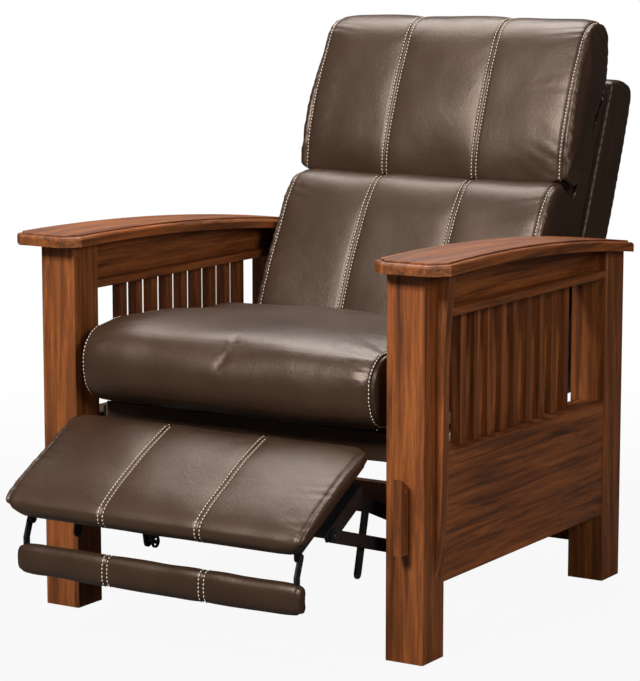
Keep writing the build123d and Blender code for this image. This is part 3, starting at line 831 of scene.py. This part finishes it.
FOOTREST_SECTION = [
    (-0.001, 0.0005, True), (0.050, -0.003, False), (0.120, -0.004, False), (0.200, -0.001, False),
    (0.222, 0.004, False), (0.234, 0.018, False), (0.228, 0.036, False), (0.216, 0.0432, True),
    (0.010, 0.0432, True), (0.000, 0.034, False),
]
FOOTREST_OUTLINE = [on_pad(along, depth) + (corner,) for along, depth, corner in FOOTREST_SECTION]
FOOTREST_EDGE = 0.284


class RECLINER_OT_footrest(bpy.types.Operator):
    """Footrest pad in three panels"""
    bl_idname = "recliner.footrest"
    bl_label = "Footrest pad"

    END_TAPER = 0.030
    END_RISE = 0.022

    def execute(self, context):
        leather = brown_leather("leather_footrest", 4.0)
        bm = lofted(FOOTREST_OUTLINE, [(0.0, -0.002), (0.24, -0.002), (0.278, 0.0), (0.289, 0.003),
                                       (0.2935, 0.008)])
        piece = add_piece("footrest_cover", bm, leather, "footrest")
        remesh(piece, 0.005)
        under = Vector((0.0, sin(PAD_SLOPE), -cos(PAD_SLOPE)))
        base = point(*on_pad(0.1, 0.040)).dot(under)

        def hold(place):
            low = place.dot(under) > base
            edge = abs(abs(place.x) - FOOTREST_EDGE) < 0.003
            return 1.0 if low or edge or near_seams(place) < 0.003 else 0.0

        inflate(piece, 4.0, 0.006, hold)
        # The pad thins towards its ends, where the underside rises to meet the top
        for vertex in piece.data.vertices:
            near_end = share(abs(vertex.co.x), 0.264, self.END_TAPER)
            raised = share(base - vertex.co.dot(under), 0.0, 0.040)
            vertex.co -= under * (self.END_RISE * near_end * (1.0 - raised))
        refine(piece)

        def shape(place, normal):
            if normal.dot(under) > 0.7:
                return 0.0
            sink = seam_sink(near_seams(place), 0.0030, 0.004)
            sink += seam_sink(FOOTREST_EDGE - abs(place.x), 0.0022, 0.004)
            gathers = side_pucker(place, FOOTREST_EDGE, 0.022, 0.0006, 0.034, 9.0)
            return sink + gathers + soft_dents(place, 0.0018, 0.09, 1.0)

        displace(piece, shape)
        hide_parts("footrest_pad")
        tailor = Seamstress(piece, middle_of(FOOTREST_OUTLINE))
        rows = double_seams(tailor, 25, 235)
        sew("footrest_stitching", rows, seam_thread("thread_footrest"), "footrest")
        return {"FINISHED"}


FLIPPER_OUTLINE = [
    (-0.207, 0.164, False), (-0.212, 0.141, False), (-0.207, 0.117, False), (-0.198, 0.113, False),
    (-0.188, 0.116, False), (-0.1865, 0.141, False), (-0.188, 0.165, False), (-0.198, 0.168, False),
]
FLIPPER_EDGE = 0.273


class RECLINER_OT_flipper(bpy.types.Operator):
    """Narrow pad that hangs from the footrest"""
    bl_idname = "recliner.flipper"
    bl_label = "Hanging pad"

    def execute(self, context):
        leather = brown_leather("leather_flipper", 6.0)
        bm = lofted(FLIPPER_OUTLINE, [(0.0, 0.001), (0.24, 0.001), (0.269, 0.002), (0.276, 0.004),
                                      (0.2795, 0.008)])
        piece = add_piece("flipper_cover", bm, leather, "flipper")
        remesh(piece, 0.0035)

        def hold(place):
            edge = abs(abs(place.x) - FLIPPER_EDGE) < 0.003
            rear = place.y > FACE_Y - 0.1895
            return 1.0 if rear or edge or near_seams(place) < 0.003 else 0.0

        inflate(piece, 3.0, 0.003, hold)
        refine(piece)

        def shape(place, normal):
            if normal.y > 0.5:
                return 0.0
            sink = seam_sink(near_seams(place), 0.0024, 0.0035)
            sink += seam_sink(FLIPPER_EDGE - abs(place.x), 0.0016, 0.0035)
            gathers = side_pucker(place, FLIPPER_EDGE, 0.015, 0.0005, 0.024, 5.0)
            return sink + gathers + soft_dents(place, 0.0014, 0.06, 3.0)

        displace(piece, shape)
        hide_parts("flipper_pad")
        tailor = Seamstress(piece, middle_of(FLIPPER_OUTLINE))
        rows = double_seams(tailor, 60, 320)
        sew("flipper_stitching", rows, seam_thread("thread_flipper"), "flipper")
        return {"FINISHED"}


LOWER_BACK_OUTLINE = [
    (0.490, 0.412, True), (0.532, 0.520, False), (0.584, 0.625, False), (0.622, 0.690, False),
    (0.652, 0.718, False), (0.688, 0.724, True), (0.727, 0.690, True), (0.862, 0.894, True),
    (shell_front(0.894, 0.003), 0.893, True), (shell_front(0.414, 0.003), 0.414, True),
    (0.503, 0.402, True),
]
BACK_EDGE = 0.270


class RECLINER_OT_lower_back(bpy.types.Operator):
    """Lower back cushion in three panels"""
    bl_idname = "recliner.lower_back"
    bl_label = "Lower back cushion"

    def execute(self, context):
        leather = brown_leather("leather_lower_back", 8.0)
        bm = lofted(LOWER_BACK_OUTLINE, [(0.0, 0.0), (0.24, 0.0), (0.268, 0.002), (0.276, 0.006),
                                         (0.280, 0.013)])
        piece = add_piece("lower_back_cover", bm, leather, "back")
        remesh(piece, 0.0065)

        def hold(place):
            behind = place.y > FACE_Y + 0.470 + 0.47 * (place.z - 0.40) + 0.060
            edge = abs(abs(place.x) - BACK_EDGE) < 0.004
            return 1.0 if behind or edge or near_seams(place) < 0.0035 else 0.0

        inflate(piece, 4.0, 0.010, hold)
        refine(piece)

        def shape(place, normal):
            if normal.y > 0.3:
                return 0.0
            sink = seam_sink(near_seams(place), 0.0036, 0.0045)
            sink += seam_sink(BACK_EDGE - abs(place.x), 0.0030, 0.0045)
            gathers = side_pucker(place, BACK_EDGE, 0.040, 0.0010, 0.046, 11.0)
            return sink + gathers + soft_dents(place, 0.003, 0.11, 8.0)

        displace(piece, shape)
        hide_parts("lower_back_cushion")
        tailor = Seamstress(piece, point(0.690, 0.600))
        rows = double_seams(tailor, 105, 215) + side_seams(tailor, BACK_EDGE - 0.002, 105, 215)
        sew("lower_back_stitching", rows, seam_thread("thread_lower_back"), "back")
        return {"FINISHED"}


HEADREST_OUTLINE = [
    (0.677, 0.721, True), (0.682, 0.775, False), (0.706, 0.850, False), (0.748, 0.945, False),
    (0.780, 0.996, False), (0.822, 1.012, False), (0.858, 1.002, False), (0.872, 0.958, False),
    (0.864, 0.904, True), (0.727, 0.702, True),
]


class RECLINER_OT_headrest(bpy.types.Operator):
    """Headrest in three panels, which rolls over the top of the back"""
    bl_idname = "recliner.headrest"
    bl_label = "Headrest"

    FLARE = 0.035

    def execute(self, context):
        leather = brown_leather("leather_headrest", 10.0)
        bm = lofted(HEADREST_OUTLINE, [(0.0, 0.0), (0.24, 0.0), (0.268, 0.003), (0.277, 0.007),
                                       (0.282, 0.015)])
        piece = add_piece("headrest_cover", bm, leather, "back")
        remesh(piece, 0.006)

        def hold(place):
            rest = place.z < 0.728 and place.y > FACE_Y + 0.674
            behind = place.y > FACE_Y + 0.860 and place.z < 0.93
            edge = abs(abs(place.x) - BACK_EDGE) < 0.004
            return 1.0 if rest or behind or edge or near_seams(place) < 0.0035 else 0.0

        inflate(piece, 4.0, 0.009, hold)
        # It widens a little towards its lower edge
        for vertex in piece.data.vertices:
            below = share(0.96 - vertex.co.z, 0.0, 0.24)
            vertex.co.x *= 1.0 + self.FLARE * below ** 1.5
        refine(piece)

        def shape(place, normal):
            sink = seam_sink(near_seams(place), 0.0036, 0.0045)
            sink += seam_sink(BACK_EDGE - abs(place.x), 0.0030, 0.0045)
            gathers = side_pucker(place, BACK_EDGE, 0.045, 0.0013, 0.043, 21.0)
            return sink + gathers + soft_dents(place, 0.003, 0.10, 13.0)

        displace(piece, shape)
        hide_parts("headrest")
        tailor = Seamstress(piece, point(0.790, 0.860))
        rows = double_seams(tailor, 60, 235) + side_seams(tailor, BACK_EDGE - 0.002, 75, 235)
        sew("headrest_stitching", rows, seam_thread("thread_headrest"), "back")
        return {"FINISHED"}


SHELL_OUTLINE = [
    (shell_front(0.327), 0.327, True), (shell_front(0.898), 0.898, True),
    (shell_front(0.898) + 0.048, 0.898, True), (shell_front(0.880) + 0.088, 0.880, False),
    (shell_front(0.860) + 0.097, 0.860, False),
    (shell_front(0.335) + 0.098, 0.335, False), (shell_front(0.327) + 0.088, 0.327, True),
]


class RECLINER_OT_shell(bpy.types.Operator):
    """Leather-covered shell of the back"""
    bl_idname = "recliner.shell"
    bl_label = "Back shell"

    def execute(self, context):
        leather = brown_leather("leather_shell", 12.0)
        bm = lofted(SHELL_OUTLINE, [(0.0, 0.001), (0.270, 0.001), (0.279, 0.003), (0.2825, 0.007)])
        piece = add_piece("shell_cover", bm, leather, "back")
        remesh(piece, 0.0065)

        def hold(place):
            return 1.0 if abs(abs(place.x) - 0.279) < 0.004 else 0.0

        inflate(piece, 1.5, 0.004, hold)
        refine(piece)

        def shape(place, normal):
            into = place.y - FACE_Y - shell_front(place.z)
            sink = 0.0
            if abs(normal.x) > 0.6:
                sink = seam_sink(into - 0.042, 0.0035, 0.0035)
            return sink + soft_dents(place, 0.0016, 0.12, 4.0)

        displace(piece, shape)
        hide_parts("back_shell")
        return {"FINISHED"}


SETTINGS = [
    ("recliner_oak", OakSettings), ("recliner_leather", LeatherSettings),
    ("recliner_stitch", StitchSettings), ("recliner_studio", StudioSettings),
]
OPERATORS = [
    RECLINER_OT_studio, RECLINER_OT_woodwork, RECLINER_OT_metalwork, RECLINER_OT_seat,
    RECLINER_OT_footrest, RECLINER_OT_flipper, RECLINER_OT_lower_back, RECLINER_OT_headrest,
    RECLINER_OT_shell,
]


class RECLINER_PT_panel(bpy.types.Panel):
    """The chair's pieces and settings"""
    bl_label = "Mission recliner"
    bl_idname = "RECLINER_PT_panel"
    bl_space_type = "VIEW_3D"
    bl_region_type = "UI"
    bl_category = "Recliner"

    def draw(self, context):
        layout = self.layout
        for name, group in SETTINGS:
            box = layout.box()
            settings = getattr(context.scene, name)
            for key in group.__annotations__:
                box.prop(settings, key)
        for operator in OPERATORS:
            layout.operator(operator.bl_idname)


def register():
    for name, group in SETTINGS:
        bpy.utils.register_class(group)
        setattr(bpy.types.Scene, name, PointerProperty(type=group))
    for operator in OPERATORS:
        bpy.utils.register_class(operator)
    bpy.utils.register_class(RECLINER_PT_panel)


def unregister():
    bpy.utils.unregister_class(RECLINER_PT_panel)
    for operator in reversed(OPERATORS):
        bpy.utils.unregister_class(operator)
    for name, group in reversed(SETTINGS):
        delattr(bpy.types.Scene, name)
        bpy.utils.unregister_class(group)


def main():
    register()
    for operator in OPERATORS:
        section, name = operator.bl_idname.split(".")
        getattr(getattr(bpy.ops, section), name)()


if __name__ == "__main__":
    main()
